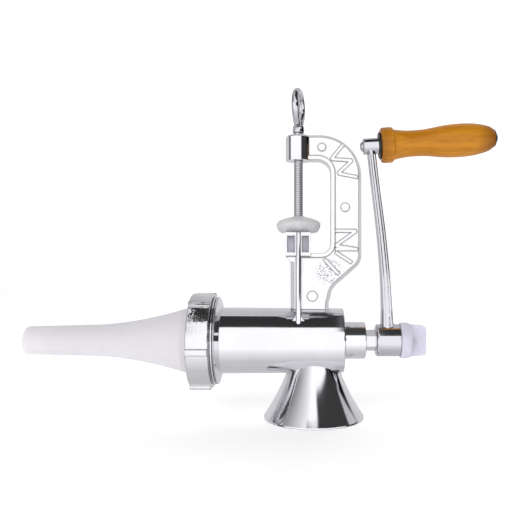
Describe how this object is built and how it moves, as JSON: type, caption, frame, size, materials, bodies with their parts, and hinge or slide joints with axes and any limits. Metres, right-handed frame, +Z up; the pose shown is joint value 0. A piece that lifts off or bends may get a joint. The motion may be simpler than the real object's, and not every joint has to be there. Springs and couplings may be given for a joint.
{
  "type": "sausage stuffer",
  "caption": "Hand-cranked sausage stuffer: cast barrel with a hopper and table clamp, feed screw, crank with wooden grip, ring nut and tapered stuffing tube.",
  "frame": {"origin": "centre of the hopper's rim, in the plane of the rim, on which the part stands with its clamp and crank upwards", "axes": "+Z up out of the hopper's mouth plane towards the clamp; +X along the barrel from the stuffing tube towards the crank; -Y is the front. In use, clamped to a table edge with the hopper upwards, the part is turned 180 degrees about Y."},
  "size_m": [0.3941, 0.0832, 0.2759],
  "materials": {
    "cast_body": "polished casting, bright",
    "cast_ring": "bright casting, satin between the lugs",
    "cast_screw": "as cast, satin",
    "plated_arm": "plated, mirror bright",
    "plated_steel": "plated, mirror bright",
    "plated_handle": "plated casting",
    "screw_steel": "rolled thread, bright zinc",
    "steel_part": "turned, plain",
    "dark_steel": "blackened",
    "bush_metal": "machined",
    "washer_plastic": "plain",
    "varnished_wood": "turned and varnished",
    "white_plastic": "slightly milky, soft gloss",
    "tube_plastic": "satin, slightly translucent",
    "pad_plastic": "matt moulded"
  },
  "bodies": {
    "housing": {"body_casting": "cast_body", "rear_bush": "bush_metal", "thrust_washer": "washer_plastic", "auger_support": "steel_part", "support_key": "steel_part"},
    "drive": {"auger_screw": "cast_screw", "auger_front_pin": "steel_part", "crank_arm": "plated_arm", "handle_spindle": "plated_steel", "grip_inner_washer": "dark_steel", "grip_outer_washer": "dark_steel"},
    "grip": {"wooden_grip": "varnished_wood"},
    "thumb_stud": {"thumb_screw_stud": "steel_part"},
    "thumb_head": {"thumb_screw_head": "white_plastic"},
    "tube": {"stuffing_tube": "tube_plastic"},
    "ring": {"ring_nut": "cast_ring"},
    "pad": {"clamp_pad": "pad_plastic"},
    "screw": {"clamp_screw": "screw_steel", "screw_handle": "plated_handle", "pad_retainer": "steel_part"}
  },
  "joints": [
    {"name": "crank_turn", "type": "hinge", "parent": "housing", "child": "drive", "pos_m": [0, 0, 0.0642], "axis": [1, 0, 0], "continuous": true},
    {"name": "grip_turn", "type": "hinge", "parent": "drive", "child": "grip", "pos_m": [0.0548, 0, 0.2275], "axis": [0.9978, 0, 0.0663], "continuous": true},
    {"name": "thumb_screw_travel", "type": "slide", "parent": "drive", "child": "thumb_stud", "axis": [1, 0, 0], "range_m": [0, 0.005]},
    {"name": "thumb_screw_turn", "type": "hinge", "parent": "thumb_stud", "child": "thumb_head", "pos_m": [0.08, 0, 0.0642], "axis": [1, 0, 0], "range_deg": [0, 1440]},
    {"name": "tube_travel", "type": "slide", "parent": "housing", "child": "tube", "axis": [-1, 0, 0], "range_m": [0, 0.0105]},
    {"name": "ring_turn", "type": "hinge", "parent": "tube", "child": "ring", "pos_m": [-0.092, 0, 0.0642], "axis": [-1, 0, 0], "range_deg": [0, 1260]},
    {"name": "clamp_travel", "type": "slide", "parent": "housing", "child": "pad", "axis": [0, 0, 1], "range_m": [0, 0.04]},
    {"name": "clamp_screw_turn", "type": "hinge", "parent": "pad", "child": "screw", "pos_m": [-0.0127, 0, 0.2], "axis": [0, 0, 1], "range_deg": [0, 9600]}
  ],
  "couplings": [
    {"joint": "thumb_screw_turn", "follows": "thumb_screw_travel", "rad_per_m": 5026.5},
    {"joint": "ring_turn", "follows": "tube_travel", "rad_per_m": 2094.4},
    {"joint": "clamp_screw_turn", "follows": "clamp_travel", "rad_per_m": 4188.8}
  ]
}
